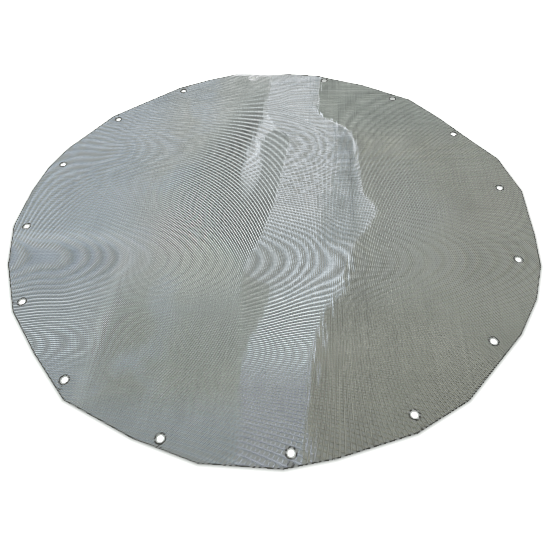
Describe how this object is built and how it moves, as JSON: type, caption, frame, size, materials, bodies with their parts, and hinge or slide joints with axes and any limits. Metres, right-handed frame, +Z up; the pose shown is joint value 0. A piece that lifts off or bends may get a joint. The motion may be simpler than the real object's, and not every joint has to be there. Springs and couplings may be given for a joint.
{
  "type": "mesh sieve screen",
  "caption": "Round woven wire sieve screen, a replacement sheet cut by hand, with a row of bolt holes near its edge.",
  "frame": {"origin": "centre of the circle of bolt holes, on the underside of the sheet, where it lies on a flange or a floor", "axes": "+Z up out of the sheet's upper face, +X through one bolt hole, +Y through the hole a quarter turn on"},
  "size_m": [0.9197, 0.9005, 0.0038],
  "materials": {
    "steel_wire_cloth": "bright drawn stainless wire, woven"
  },
  "bodies": {
    "root": {"mesh_screen": "steel_wire_cloth"}
  },
  "joints": []
}
